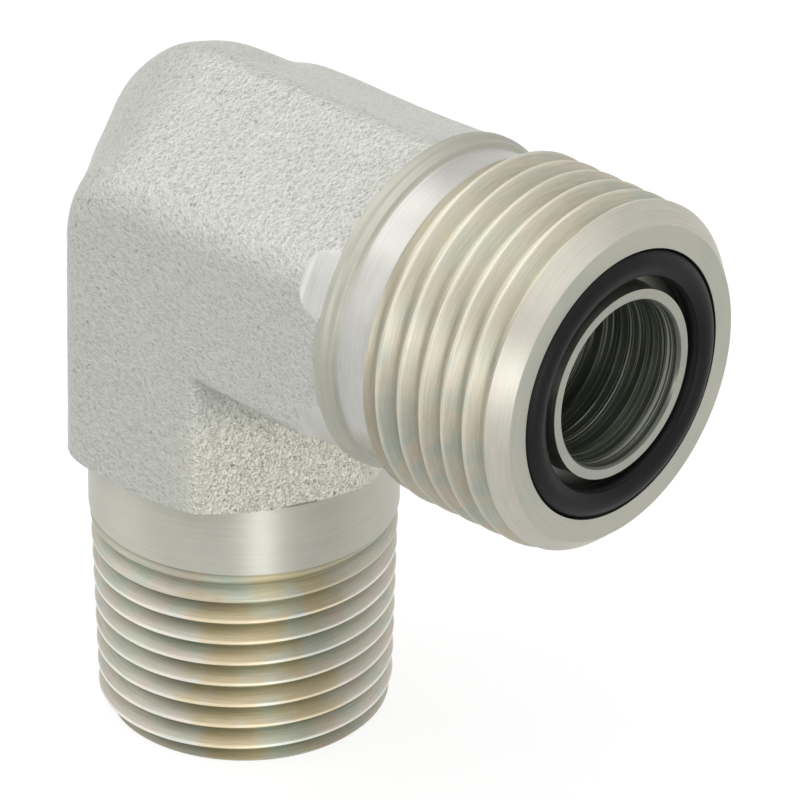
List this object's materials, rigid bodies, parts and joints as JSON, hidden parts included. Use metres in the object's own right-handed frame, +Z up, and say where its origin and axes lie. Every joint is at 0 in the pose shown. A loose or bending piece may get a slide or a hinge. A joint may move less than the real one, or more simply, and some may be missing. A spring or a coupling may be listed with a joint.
{
  "type": "hydraulic elbow adapter",
  "caption": "Right-angle steel adapter from a straight face seal thread to a taper pipe thread, with a forged body, a drilled way through and a captive seal ring.",
  "frame": {"origin": "middle of the bounding box at its base, on the plane of the pipe end's face", "axes": "+Z up along the pipe end's axis, +X out along the face seal end's axis, +Y across the wrench flats"},
  "size_m": [0.0384, 0.0206, 0.0416],
  "materials": {
    "zinc_steel": "pale zinc plating, matt and finely dimpled on the forging, satin on the turned ends",
    "seal_rubber": "satin"
  },
  "bodies": {
    "root": {"elbow_body": "zinc_steel", "face_seal_ring": "seal_rubber"}
  },
  "joints": []
}
